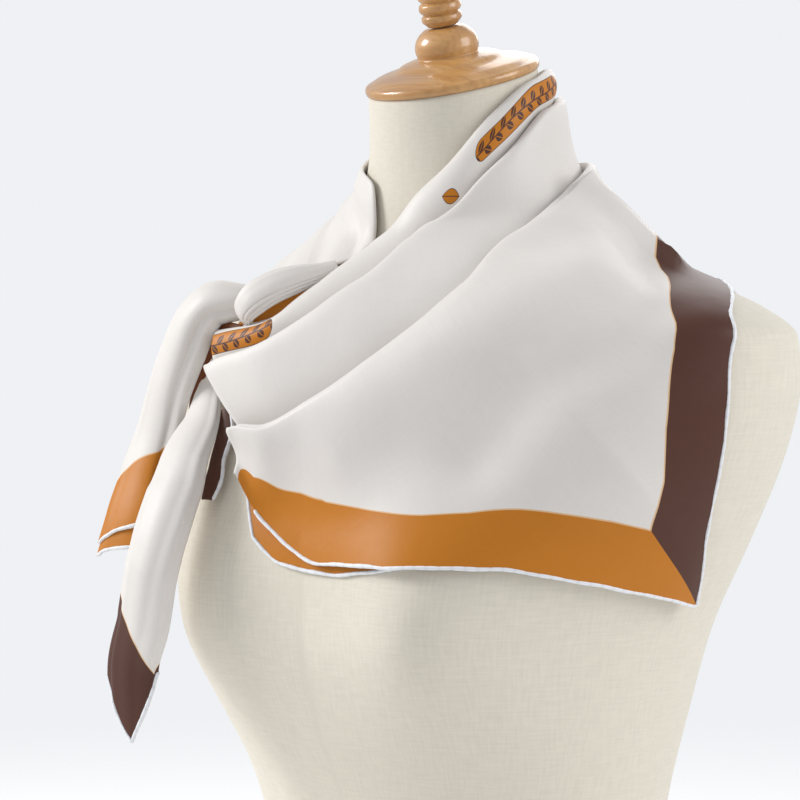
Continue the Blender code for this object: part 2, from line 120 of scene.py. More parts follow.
# The way across the scarf: along is 0 at the neck fold, 1 and 2 at the next folds and 3 at the
# hem; rise is how far the cloth bulges over, or sinks under, a straight line between them
ACROSS = (
    (0.20, -11), (0.10, -11), (-0.04, -8), (-0.06, 0), (0.08, 3),
    (0.34, 3), (0.62, -1), (0.84, -6.5), (1.00, -11), (1.08, -13.5), (1.09, -12),
    (1.03, -8), (0.955, -4.5), (0.93, -1), (0.94, 1.8), (0.975, 3.6), (1.06, 4.4), (1.18, 3.6),
    (1.40, 0.5), (1.66, -4), (1.86, -9.5), (2.01, -14.5), (2.08, -17), (2.09, -14.5),
    (2.03, -10), (1.96, -5.5), (1.935, -1.5), (1.945, 1.6), (1.975, 3.6), (2.05, 4.4), (2.16, 2.7),
    (2.34, -3.5), (2.54, -7), (2.72, -6), (2.88, -2.5), (3.00, 0),
)
TIP_DROP, TIP_TURN, TIP_LENGTH = 2.0, 2.0, 0.6      # how the folds' ends beside the knot round off
PLAIN_FROM = 0.34                                    # the neck fold ends here along the way across
ROLL_RADIUS, ROLL_TURN = 3.4, math.radians(130)      # how the cloth turns inwards at the knot

# How wide the printed border is at each place, a row each: section, width. The widths are fitted so
# that the border's inner edge falls where the photograph has it; a real border has one width
ORANGE_WIDTH = (
    (0, 2.5), (0.14, 4.7), (0.71, 9.5), (1.23, 18.7), (1.66, 27), (2.08, 32.5), (2.9, 29.5),
    (3.6, 28), (4.12, 28.4), (4.69, 31.5), (5.07, 32.9), (5.5, 35.2), (6, 35.5),
)
BROWN_WIDTH = (
    (5.0, 36.2), (5.83, 36.2), (6.25, 33.1), (6.58, 34.1), (6.77, 32.5), (7.01, 29.8), (7.25, 30.2),
    (7.77, 33.9), (7.91, 41), (8.4, 46), (9.5, 36), (11.5, 34), (12.6, 0.1), (15, 0.1),
)

# Long soft creases, a row each: turn and level of the places it runs through, half width, rise
# (- is a trough)
CREASES = (
    (((91, 483), (46, 423), (12, 364)), 20, 4.5),
    (((86, 466), (57.7, 409), (41.7, 365)), 17, -6.5),
    (((96.5, 497.7), (95.8, 464.7)), 9, 8.9),
    (((130, 480), (180, 452)), 18, 2.5),
    (((165, 525), (250, 478)), 16, 2.5),
    (((-21, 356), (-14, 348)), 16, 6),
)

# The second layer below the hem beside the knot, a row for each section: turn and level of its
# hem, turn and level of its upper edge
UNDER_LAYER = (
    (-15.5, 319, -23, 352), (-11, 312, -17, 354), (-5.5, 306, -8, 354),
    (7.5, 303, 8, 345), (21.5, 306, 22, 340), (34, 312, 34, 338),
)
UNDER_LIFT = 1.4

# Knotted and hanging stretches, a row for each station along the middle: x, y, z, width,
# depth, and how many degrees of the round the cloth wraps
KNOT_BAND = (
    (-25.6, -82, 465.5, 8, 6, 170), (-31, -91, 462, 11.5, 8, 180), (-38, -101.5, 458.8, 15.5, 10, 190),
    (-46, -110, 454.8, 18, 11, 195), (-54, -115.5, 449.2, 18.5, 11, 200),
    (-60.5, -117.5, 442.7, 15.5, 9, 200), (-65, -112.5, 436.7, 9, 5, 190),
)
KNOT_HEM = (
    (-32, -94, 452.5, 7, 3, 140), (-41, -101, 448.3, 12, 5, 150), (-53, -107, 441.6, 11, 5, 150),
    (-65, -109.5, 436.5, 6, 3, 140), (-71, -110.5, 433.5, 3, 2, 130),
)
TAIL_ORANGE = (
    (-59.5, -100.8, 446.5, 14, 8, 215), (-83.5, -112.8, 446, 23, 14, 240), (-97.5, -116.8, 437, 27, 15, 240),
    (-107.5, -117.8, 420, 29, 14, 230), (-119.6, -117, 396, 29, 11, 200), (-125.5, -119.2, 372, 31, 9, 185),
    (-128.6, -125.2, 350, 36, 10, 180), (-129, -134, 326, 40, 10, 175), (-133, -141, 300, 40, 9, 165),
)
TAIL_BROWN = (
    (-82.4, -113.9, 413.3, 11, 4, 150), (-96, -107, 405, 14, 4, 155), (-95, -111, 395, 18, 5, 170),
    (-90.5, -122, 380, 26, 7, 190), (-88, -137, 362, 31, 10, 215), (-84.5, -149, 344, 35, 13, 230),
    (-84, -158, 327, 35, 14, 230), (-84.5, -164, 311, 34, 14, 220), (-86.5, -167, 295, 34, 14, 210),
    (-92, -166, 272, 35, 13, 200), (-102, -163, 245, 35, 11, 185), (-104, -160, 206, 33, 9, 165),
)
TAIL_BROWN_LINING = (
    (-77, -115, 387, 7, 3, 120), (-74.5, -118.5, 375, 11, 3, 120), (-74, -125, 361, 10, 3, 120),
    (-71.5, -131, 349, 13, 3, 120), (-71, -137, 338, 8, 3, 110),
)
KNOT_TURN = (
    (-68, -112, 431, 5, 2, 140), (-80, -111, 431.5, 8, 2.5, 140), (-89.5, -109.5, 428, 9, 3, 140),
    (-96, -108.5, 416, 9, 3, 140), (-101.5, -108, 404, 9, 2.5, 140), (-107, -108, 392, 8, 2, 140),
    (-113, -107, 378, 3, 2, 140),
)
# Where the hanging ends are cut and where their borders start: the place across, from -1 to 1,
# and the row of the table above
ORANGE_END, ORANGE_START = ((-1, 6.6), (-0.3, 7.1), (1, 7.75)), ((-1, 5.0), (-0.6, 5.2), (1, 6.3))
ORANGE_INNER_END = ((-1, 7.1), (-0.2, 7.6), (1, 8.0))
BROWN_END, BROWN_START = ((-1, 9.85), (-0.05, 11.0), (1, 10.15)), ((-1, 9.6), (-0.75, 9.95), (1, 8.4))
FACING = (0.12, -0.98, 0.12)         # the way that hanging cloth shows its round side

# The turned wood, a row for each ring down the outside: radius, height
CAP_PROFILE = (
    (0, 31.0), (9, 30.7), (13.5, 28.6), (17, 24.2), (18, 19.2), (17.2, 15.0), (20.5, 14.2),
    (27, 12.4), (31, 10.2), (37, 8.8), (42, 7.6), (46, 5.8), (48.6, 4.6), (49.4, 2.4), (48.6, 0), (0, 0),
)
FINIAL_PROFILE = (
    (0, 46), (6, 45.2), (10.6, 42), (13, 37), (13.4, 32), (11.6, 26.5), (8.6, 22.5), (8.2, 20.5),
    (11.2, 19.2), (11.8, 17), (10.6, 14.8), (9.8, 14.2), (11.6, 12.6), (12, 10.2), (10.8, 8),
    (9.8, 7.4), (11.2, 6), (11.4, 4), (10, 2), (7, 0), (0, 0),
)
WOOD_GAP = 0.3                       # clear space under each turned piece
PROFILE_STEPS, TURNED_SIDES = 7, 96  # points between two rows of a profile, and round it

# How finely the surfaces are drawn
ROW_HOLD, RING_HOLD = 2.0, 2.5       # how much steeper than its smaller side a curve may run
FORM_SIDES, RING_STEPS = 180, 12     # points round the form, and between two of its rings
ACROSS_COUNT, CREASE_STEPS = 158, 40
FINE_UNTIL, FINE_ROWS, BACK_ROWS = 9, 190, 80      # rows up to this section, and from there on
ROLL_ROWS, LINE_STEPS = 7, 900

# The rolled hem in mm: its step, its sides, and how long and how deep a stitch nips it
HEM_STEP, HEM_SIDES, NIP_LENGTH, NIP_DEPTH = 0.9, 8, 0.85, 0.09
HEM_SHOWN = (0.7, 12.2)              # the drape's hem runs between these sections and no further

# A share of fold depth at which cloth lies plain, and the share more at which it is all folds
PLAIN_DEPTH, GATHERING, PLAIN_CHANGE = 0.1, 0.25, 0.3
ROLL_EASE, ROLL_LEAST = 5.2, 0.2     # how fast the roll at the knot grows from the edges, and from what

# The camera, in metres and degrees
CAMERA_PLACE, CAMERA_TURN, SENSOR = (1.07334, -1.33734, 0.45080), (88.0, 0.0, 40.0), 36.0
FLOOR_HALF, FLOOR_FADE = 1.7, (0.45, 1.6)

# The print on the first fold, in mm: where each ribbon starts and ends along it, and half its
# width; then the place of the loose leaf along and across it, its length and half its width
RIBBONS, RIBBON_HALF_WIDTH = ((-4.0, 46.0), (203.0, 276.0)), 6.0
LOOSE_LEAF, LOOSE_LEAF_WIDE = (170.0, 2.5, 14.0), 3.6
LEAF_PITCH, LEAF_START, LEAF_LENGTH, LEAF_WIDE, LEAF_LEAN = 9.0, 1.2, 7.0, 1.9, 44.0
PRINT_MIDDLE = 0.40                  # where the ribbons' middle line lies on the way across
NO_BORDER, NO_PRINT = -99.0, 9.0     # what a place far from any border and any ribbon holds

# How much cloth a row of each hanging end's table takes up where its border is, in mm
ORANGE_ROW, BROWN_ROW = 19.0, 21.0


def linear(text):
    """An sRGB hex colour as three linear values."""
    part = np.array([int(text[i:i + 2], 16) for i in (1, 3, 5)]) / 255
    return tuple(np.where(part <= 0.04045, part / 12.92, ((part + 0.055) / 1.055) ** 2.4).tolist())


# ---------------------------------------------------------------------------- shapes

def cubic(rows, gap, hold, at):
    """Cubics through a table's rows, read at row numbers, which may lie between rows.

    The slope at a row is the mean of the slopes on its two sides, at most hold times the smaller
    one, and 0 where they turn. Gap is how far apart the rows are."""
    step = np.diff(rows, axis=0) / gap[:, None]
    slope = np.vstack([step[:1], (step[1:] + step[:-1]) / 2, step[-1:]])
    bound = hold * np.minimum(np.abs(step[1:]), np.abs(step[:-1]))
    slope[1:-1] = np.where(step[1:] * step[:-1] > 0, np.clip(slope[1:-1], -bound, bound), 0)
    i = np.clip(np.floor(at).astype(int), 0, len(rows) - 2)
    s, tall = (at - i)[:, None], gap[i][:, None]
    return ((1 + 2 * s) * (1 - s) ** 2 * rows[i] + s * (1 - s) ** 2 * tall * slope[i]
            + s * s * (3 - 2 * s) * rows[i + 1] + s * s * (s - 1) * tall * slope[i + 1])


def glide(rows, at):
    """A smooth curve through a table's rows, taken as evenly spaced."""
    rows = np.asarray(rows, float)
    return cubic(rows, np.ones(len(rows) - 1), ROW_HOLD, np.atleast_1d(np.asarray(at, float)))


def ring_at(level):
    """The dress form's ring table, read smoothly at any levels."""
    rings = np.array(FORM_RINGS, float)
    row = np.interp(level, rings[:, 0], np.arange(len(rings)))
    return cubic(rings[:, 1:], np.diff(rings[:, 0]), RING_HOLD, row)


def skin(turn, level):
    """Points of the dress form: rings whose reach in a direction is the superellipse
    (|sin / width|^n + |cos / depth|^n)^(-1/n), with two soft lobes in front."""
    turn, level = np.broadcast_arrays(np.asarray(turn, float), np.asarray(level, float))
    middle, tilt, wide, front, behind, square = ring_at(level.ravel()).T
    angle = np.radians(turn.ravel())
    side, ahead = np.sin(angle), np.cos(angle)
    deep = np.where(ahead > 0, front, behind)
    reach = (np.abs(side / wide) ** square + np.abs(ahead / deep) ** square) ** (-1 / square)
    x = reach * side
    lobe = np.exp(-((np.abs(x) - BUST_SIDE) / BUST_WIDE) ** 2
                  - ((level.ravel() - BUST_LEVEL) / BUST_TALL) ** 2)
    y = -reach * ahead - BUST_RISE * lobe * np.sqrt(np.clip(ahead, 0, 1))
    lean = np.radians(tilt)
    points = np.stack([x, middle + y * np.cos(lean), level.ravel() + y * np.sin(lean)], -1)
    return points.reshape(turn.shape + (3,))


def on_form(turn, level, lift):
    """Points that stand off the dress form by lift, along its outward normal."""
    round_step, up_step = 0.4, 1.0
    around = skin(turn + round_step, level) - skin(turn - round_step, level)
    upward = skin(turn, level + up_step) - skin(turn, level - up_step)
    normal = np.cross(around, upward)
    normal /= np.linalg.norm(normal, axis=-1, keepdims=True)
    return skin(turn, level) + normal * np.asarray(lift)[..., None]


def b_spline(rows, count):
    """Points along a clamped uniform cubic B-spline over a table's rows."""
    rows = np.asarray(rows, float)
    rows = np.vstack([rows[:1], rows[:1], rows, rows[-1:], rows[-1:]])
    at = np.linspace(0, len(rows) - 3, count)
    i = np.minimum(at.astype(int), len(rows) - 4)
    s = (at - i)[:, None]
    return ((1 - s) ** 3 * rows[i] + (3 * s ** 3 - 6 * s ** 2 + 4) * rows[i + 1]
            + (-3 * s ** 3 + 3 * s ** 2 + 3 * s + 1) * rows[i + 2] + s ** 3 * rows[i + 3]) / 6


def hem_at(section):
    """The hem's turn, level and lift: two smooth curves that meet in the scarf's corner."""
    row = np.interp(section, HEM_SECTIONS, np.arange(len(HEM)))
    before = glide(HEM[:CORNER_SECTION + 1], np.minimum(row, CORNER_SECTION))
    after = glide(HEM[CORNER_SECTION:], np.maximum(row, CORNER_SECTION) - CORNER_SECTION)
    return np.where((section <= CORNER_SECTION)[:, None], before, after)


def crease_rise(points):
    """How far the long soft creases raise or lower the cloth: a bell curve of the distance to
    the nearest place on each crease's line."""
    rise = np.zeros(points.shape[:-1])
    for places, half_width, height in CREASES:
        turn, level = glide(places, np.linspace(0, len(places) - 1, CREASE_STEPS)).T
        away = np.linalg.norm(points[..., None, :] - skin(turn, level), axis=-1).min(-1)
        rise += height * np.exp(-(away / half_width) ** 2)
    return rise


def scarf_grid(sections, across_count):
    """Turn, level and lift over the whole scarf: four rails joined by the curve across them, and
    the lift kept above the linen by a soft floor, least + (spare + sqrt(spare^2 + 1)) / 2.

    Where the folds run out, the curve's places turn into evenly spread ones, so it lies plain."""
    sections = np.asarray(sections, float)
    rails = np.stack([glide(NECK_FOLD, sections), glide(SECOND_FOLD, sections),
                      glide(THIRD_FOLD, sections), hem_at(sections)], 1)
    tip = np.clip(1 - sections / TIP_LENGTH, 0, 1)[:, None, None] ** 2
    rails[:, 1:3, :2] += tip * np.array([TIP_TURN, -TIP_DROP])
    depth = np.interp(sections, np.arange(len(FOLD_DEPTH)), FOLD_DEPTH)[:, None]
    neck_depth = np.interp(sections, np.arange(len(NECK_DEPTH)), NECK_DEPTH)[:, None]
    folded, rise = b_spline(ACROSS, across_count).T
    first = int(np.argmax((folded > PLAIN_FROM) & (np.arange(across_count) > np.argmin(folded))))
    plain = folded.copy()
    plain[first:] = np.linspace(folded[first], folded[-1], across_count - first)
    gathered = np.clip((depth - PLAIN_DEPTH) / GATHERING, 0, 1)
    along = folded[None] * gathered + plain[None] * (1 - gathered)
    rail = np.clip(np.floor(along).astype(int), 0, 2)
    share = (along - rail)[..., None]
    row = np.arange(len(sections))[:, None]
    place = rails[row, rail] * (1 - share) + rails[row, rail + 1] * share
    beyond = np.clip((plain - PLAIN_FROM) / PLAIN_CHANGE, 0, 1)[None]
    lift = place[..., 2] + rise[None] * (neck_depth * (1 - beyond) + depth * beyond)
    lift = lift + crease_rise(skin(place[..., 0], place[..., 1])) * (along > 2)
    spare = lift - LEAST_LIFT
    lift = LEAST_LIFT + (spare + np.sqrt(spare ** 2 + 1.0)) / 2
    return place[..., 0], place[..., 1], lift


def rolled_end(turn, level, lift, steps):
    """Rows before the first section that carry the cloth inwards on an arc."""
    place = np.linspace(0, 1, turn.shape[1])
    radius = ROLL_RADIUS * np.clip(np.minimum(place, 1 - place) * ROLL_EASE, ROLL_LEAST, 1)
    reach = np.linalg.norm(skin(turn[0], level[0])[..., :2], axis=-1)
    angle = (ROLL_TURN * np.arange(steps, 0, -1) / steps)[:, None]
    rows = (turn[0] - np.degrees(radius * np.sin(angle) / reach), np.repeat(level[:1], steps, 0),
            lift[0] - radius * (1 - np.cos(angle)))
    return [np.vstack([row, grid]) for row, grid in zip(rows, (turn, level, lift))]


def hanging_grid(rows, stations, around_count, end=None, start=0.0, inset=0.0, pleats=(), grooves=()):
    """A stretch of hanging cloth: an open round section carried along a smooth middle line. It
    gives the grid, and the row of the table that each point comes from.

    The section's radius swells by a sum of cosines of the angle round it, a row of pleats each:
    count, depth, phase. It sinks in each groove, a bell curve across: place, depth, width, and
    how far the place drifts along the stretch. The end is cut where the end table says."""
    edge = np.linspace(-1, 1, around_count)
    last = len(rows) - 1
    until = np.interp(edge, *np.array(end, float).T) if end else np.full(around_count, last)
    share = np.linspace(0, 1, stations)[:, None]
    at = start + share * (until - start)[None]
    path = glide(rows, at.ravel()).reshape(stations, around_count, 6)
    ahead = glide(rows, np.minimum(at.ravel() + 0.05, last))
    behind = glide(rows, np.maximum(at.ravel() - 0.05, 0))
    tangent = (ahead - behind)[:, :3].reshape(stations, around_count, 3)
    tangent /= np.linalg.norm(tangent, axis=-1, keepdims=True)
    out = np.array(FACING) - (tangent @ np.array(FACING))[..., None] * tangent
    out /= np.linalg.norm(out, axis=-1, keepdims=True)
    side = np.cross(tangent, out)
    angle = np.radians(path[..., 5] / 2) * edge[None]
    swell = 1 + sum(depth * np.cos(count * angle + phase) for count, depth, phase in pleats)
    for place, depth, width, drift in grooves:
        swell = swell - depth * np.exp(-((edge[None] - place - drift * share) / width) ** 2)
    across = (path[..., 3] / 2 - inset) * np.sin(angle) * swell
    outward = (path[..., 4] / 2 - inset) * np.cos(angle) * swell
    return path[..., :3] + side * across[..., None] + out * outward[..., None], at


def away_from(points, line, part=None, line_part=None, window=2.5):
    """The distance of each grid point to a line's nearest point, row by row. Where parts are
    given, a row looks only at the points of the line whose part is within the window of its own."""
    away = np.full(points.shape[:2], 999.0)
    for i in range(len(points)):
        near = line if part is None else line[np.abs(line_part - part[i]) <= window]
        if len(near):
            away[i] = np.linalg.norm(points[i][:, None] - near[None], axis=-1).min(1)
    return away


def run_along(points):
    """The distance along a line of points, or the mean distance along a grid of them."""
    step = np.linalg.norm(np.diff(points, axis=0), axis=-1)
    if step.ndim > 1:
        step = step.mean(1)
    return np.concatenate([[0], np.cumsum(step)])


def arc_map(grid):
    """Two coordinates over a grid, in metres of cloth: the mean length along it, and the length
    across it at each row."""
    across = np.linalg.norm(np.diff(grid, axis=1), axis=-1)
    u = run_along(grid)[:, None] + np.zeros(grid.shape[:2])
    v = np.hstack([np.zeros((len(grid), 1)), np.cumsum(across, axis=1)])
    return np.stack([u, v], -1) * MM


def evenly(line, step):
    """A line's points spread evenly, step apart, and the distance along it at each."""
    run = run_along(line)
    along = np.linspace(0, run[-1], max(int(run[-1] / step), 8))
    return np.stack([np.interp(along, run, line[:, k]) for k in range(3)], -1), along


# ---------------------------------------------------------------------------- meshes

def mesh_object(name, points, faces, finish, maps=(), fields=()):
    """A smooth mesh object from points in millimetres, riding on the root, with its UV maps and
    its values at each point."""
    mesh = bpy.data.meshes.new(name)
    points = np.asarray(points, float).reshape(-1, 3)
    mesh.from_pydata((points * MM).tolist(), [], faces)
    mesh.materials.append(finish)
    mesh.shade_smooth()
    corner = np.zeros(len(mesh.loops), np.int32)
    mesh.loops.foreach_get("vertex_index", corner)
    for key, values in dict(maps).items():
        layer = mesh.uv_layers.new(name=key)
        layer.data.foreach_set("uv", np.asarray(values, np.float32).reshape(-1, 2)[corner].ravel())
    for key, values in dict(fields).items():
        field = mesh.attributes.new(key, "FLOAT", "POINT")
        field.data.foreach_set("value", np.asarray(values, np.float32).ravel())
    made = bpy.data.objects.new(name, mesh)
    bpy.context.scene.collection.objects.link(made)
    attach(made, "root")
    return made


def grid_faces(rows, columns, closed=False, capped=False):
    """The four-cornered faces of a grid, which closes round its columns if asked to, and gets a
    face over each end."""
    index = np.arange(rows * columns).reshape(rows, columns)
    if closed:
        index = np.hstack([index, index[:, :1]])
    faces = np.stack([index[:-1, :-1], index[:-1, 1:], index[1:, 1:], index[1:, :-1]], -1)
    faces = faces.reshape(-1, 4).tolist()
    if capped:
        faces += [index[0, :columns][::-1].tolist(), index[-1, :columns].tolist()]
    return faces


def cloth(name, grid, finish, fields=(), extra_maps=()):
    """A wall of cloth over a grid of points, half its thickness on each side."""
    maps = {"cloth": arc_map(grid)}
    maps.update(dict(extra_maps))
    made = mesh_object(name, grid, grid_faces(*grid.shape[:2]), finish, maps, fields)
    wall = made.modifiers.new("wall", "SOLIDIFY")
    wall.thickness = bpy.context.scene.scarf_silk.wall
    wall.offset = 0.0
    return made


def rolled_hem(name, line, finish):
    """A rolled hem: a round of thickness carried along an edge and nipped in by each stitch.

    Its radius is the hem's own times 1 - nip, where nip is a bell curve at every stitch, and the
    whole wavers a little by a sum of slow sines."""
    silk = bpy.context.scene.scarf_silk
    radius, pitch = silk.hem_width / 2 / MM, silk.stitch_pitch / MM
    path, along = evenly(np.asarray(line, float), HEM_STEP)
    ahead = np.gradient(path, axis=0)
    ahead /= np.linalg.norm(ahead, axis=-1, keepdims=True)
    level_way = np.cross(ahead, (0.13, -0.21, 0.97))
    level_way /= np.linalg.norm(level_way, axis=-1, keepdims=True)
    other_way = np.cross(ahead, level_way)
    place = along + 0.9 * np.sin(along / 23.0) + 0.5 * np.sin(along / 9.1)
    nip = np.exp(-(((place % pitch) - pitch / 2) / NIP_LENGTH) ** 2)
    waver = 0.22 * np.sin(along / 7.3) + 0.16 * np.sin(along / 4.1 + 1.0)
    path = path + other_way * waver[:, None] + level_way * (0.15 * np.sin(along / 5.7))[:, None]
    around = np.linspace(0, 2 * np.pi, HEM_SIDES, endpoint=False)
    swell = radius * (1 - NIP_DEPTH * nip + 0.06 * np.sin(along / 3.3) + 0.05 * np.sin(along / 11.0))
    end = np.minimum(along, along[-1] - along)
    swell = swell * np.clip(np.sqrt(np.clip(end / 1.2, 0, 1)), 0.15, 1)
    ring = np.cos(around)[None, :, None] * level_way[:, None]
    ring = ring + np.sin(around)[None, :, None] * other_way[:, None]
    points = path[:, None] + ring * swell[:, None, None]
    faces = grid_faces(len(path), HEM_SIDES, closed=True, capped=True)
    place = np.stack(np.broadcast_arrays(along[:, None], around[None]), -1) * MM
    fields = {"nip": np.repeat(nip[:, None], HEM_SIDES, 1)}
    return mesh_object(name, points, faces, finish, {"cloth": place}, fields)


def turned(name, profile, base, finish):
    """A turned wooden piece on the neck's slanting top: its profile carried round the axis.

    Each ring is radius * (cos, sin) at the profile's height, tipped forward with the neck."""
    fine = glide(profile, np.linspace(0, len(profile) - 1, (len(profile) - 1) * PROFILE_STEPS + 1))
    fine[:, 0] = np.maximum(fine[:, 0], 0)
    inner = fine[1:-1]
    angle = np.linspace(0, 2 * np.pi, TURNED_SIDES, endpoint=False)
    x = inner[:, :1] * np.cos(angle)[None]
    depth = inner[:, :1] * np.sin(angle)[None]
    tall = np.repeat(inner[:, 1:], len(angle), 1) + base
    lean, (level, middle) = math.radians(NECK_TILT), FORM_RINGS[-1][:2]

    def stand(x, y, z):
        return np.stack([x, middle + y * math.cos(lean) - z * math.sin(lean),
                         level + y * math.sin(lean) + z * math.cos(lean)], -1)

    points = stand(x, depth, tall).reshape(-1, 3)
    faces = [face[::-1] for face in grid_faces(len(inner), len(angle), closed=True)]
    top, bottom = fine[0, 1] + base, fine[-1, 1] + base
    zero = np.zeros(1)
    points = np.vstack([points, stand(zero, zero, zero + top), stand(zero, zero, zero + bottom)])
    ring = np.arange(len(angle))
    after = np.roll(ring, -1)
    last = (len(inner) - 1) * len(angle)
    crown, foot = len(points) - 2, len(points) - 1
    faces += np.stack([ring, after, np.full_like(ring, crown)], -1).tolist()
    faces += np.stack([last + after, last + ring, np.full_like(ring, foot)], -1).tolist()
    return mesh_object(name, points, faces, finish)


# ---------------------------------------------------------------------------- finishes

def node(tree, kind, inputs=None, **settings):
    """Adds a node, sets its own settings, and links or sets its inputs by name or number."""
    made = tree.nodes.new("ShaderNode" + kind)
    for key, value in settings.items():
        setattr(made, key, value)
    for key, value in (inputs or {}).items():
        if isinstance(value, bpy.types.Node):
            value = value.outputs[0]
        if isinstance(value, bpy.types.NodeSocket):
            tree.links.new(value, made.inputs[key])
        else:
            made.inputs[key].default_value = value
    return made


def finish_named(name, colour):
    """A new material with an empty node tree, and the colour that a plain view shows."""
    made = bpy.data.materials.new(name)
    made.use_nodes = True
    made.diffuse_color = (*colour, 1.0)
    made.node_tree.nodes.clear()
    return made, made.node_tree


def leaf_print(tree, ground, orange, brown):
    """Ribbons with round ends that carry a sprig, drawn from the print map in millimetres.

    A ribbon is where the distance to its middle line is under its half width. Along it, each cell
    holds one leaf on either side, half a cell apart. With p along a leaf and q across it, a leaf
    is where |q| < half width * (1 - (2 p / length - 1)^2)."""
    def sums(operation, *values):
        return node(tree, "Math", dict(enumerate(values)), operation=operation)

    def leaf_at(p, q, length, half_width):
        """How far inside a leaf a place lies, in mm."""
        middle = sums("MULTIPLY_ADD", p, 2 / length, -1.0)
        square = sums("MULTIPLY", middle, middle)
        return sums("SUBTRACT", sums("MULTIPLY_ADD", square, -half_width, half_width), sums("ABSOLUTE", q))

    split = node(tree, "SeparateXYZ", {0: node(tree, "UVMap", uv_map="print")})
    u = sums("MULTIPLY", split.outputs[0], 1000.0)
    flat_v = sums("MULTIPLY", split.outputs[1], 1000.0)
    wave = sums("MULTIPLY", sums("SINE", sums("MULTIPLY", u, 0.105)), 1.1)
    v = sums("SUBTRACT", flat_v, wave)
    inside = None
    for start, end in RIBBONS:
        past = sums("SUBTRACT", u, node(tree, "Clamp", {0: u, 1: start, 2: end}))
        away = sums("SQRT", sums("MULTIPLY_ADD", past, past, sums("MULTIPLY", flat_v, flat_v)))
        spare = sums("SUBTRACT", RIBBON_HALF_WIDTH, away)
        inside = sums("MAXIMUM", inside, spare) if inside else spare
    ribbon = node(tree, "MapRange", {0: inside, 1: -0.12, 2: 0.12})
    rim = node(tree, "MapRange", {0: inside, 1: 0.55, 2: 0.3})

    # A row of leaning leaves on each side of the stem
    side = sums("GREATER_THAN", v, 0.0)
    place = sums("FLOORED_MODULO", sums("MULTIPLY_ADD", side, LEAF_PITCH / 2, u), LEAF_PITCH)
    out = sums("ABSOLUTE", v)
    cos, sin = math.cos(math.radians(LEAF_LEAN)), math.sin(math.radians(LEAF_LEAN))
    start = sums("SUBTRACT", place, LEAF_START)
    p = sums("MULTIPLY_ADD", out, sin, sums("MULTIPLY", start, cos))
    q = sums("MULTIPLY_ADD", out, cos, sums("MULTIPLY", start, -sin))
    spare = leaf_at(p, q, LEAF_LENGTH, LEAF_WIDE)
    leaf = node(tree, "MapRange", {0: spare, 1: -0.1, 2: 0.1})
    vein = node(tree, "MapRange", {0: sums("ABSOLUTE", q), 1: 0.12, 2: 0.26})
    leaf = sums("MULTIPLY", leaf, vein)
    stem = node(tree, "MapRange", {0: out, 1: 0.5, 2: 0.3})
    dark = sums("MAXIMUM", sums("MAXIMUM", leaf, stem), rim)
    printed = node(tree, "Mix", {0: dark, 6: (*orange, 1), 7: (*brown, 1)}, data_type="RGBA")
    both = node(tree, "Mix", {0: ribbon, 6: ground, 7: printed.outputs[2]}, data_type="RGBA")

    # One loose leaf lies between the ribbons
    along, up = sums("SUBTRACT", u, LOOSE_LEAF[0]), sums("SUBTRACT", flat_v, LOOSE_LEAF[1])
    p = sums("MULTIPLY_ADD", along, 0.8, sums("MULTIPLY", up, 0.6))
    q = sums("MULTIPLY_ADD", along, -0.6, sums("MULTIPLY", up, 0.8))
    spare = leaf_at(p, q, LOOSE_LEAF[2], LOOSE_LEAF_WIDE)
    leaf = node(tree, "MapRange", {0: spare, 1: -0.1, 2: 0.1})
    blade = node(tree, "MapRange", {0: spare, 1: 0.3, 2: 0.5})
    vein = node(tree, "MapRange", {0: sums("ABSOLUTE", q), 1: 0.14, 2: 0.3})
    blade = sums("MULTIPLY", blade, vein)
    painted = node(tree, "Mix", {0: blade, 6: (*brown, 1), 7: (*orange, 1)}, data_type="RGBA")
    both = node(tree, "Mix", {0: leaf, 6: both.outputs[2], 7: painted.outputs[2]}, data_type="RGBA")
    return both.outputs[2]


def crossed_threads(tree, fine, coarse, detail):
    """Weft and warp of the cloth map: two noises, each drawn out along its own threads, added."""
    place = node(tree, "UVMap", uv_map="cloth")
    both = []
    for scale in ((coarse, fine, 1.0), (fine, coarse, 1.0)):
        drawn_out = node(tree, "Mapping", {"Vector": place, "Scale": scale})
        both.append(node(tree, "TexNoise", {"Vector": drawn_out, "Scale": 1.0, "Detail": detail}))
    return node(tree, "Math", dict(enumerate(both)), operation="ADD")


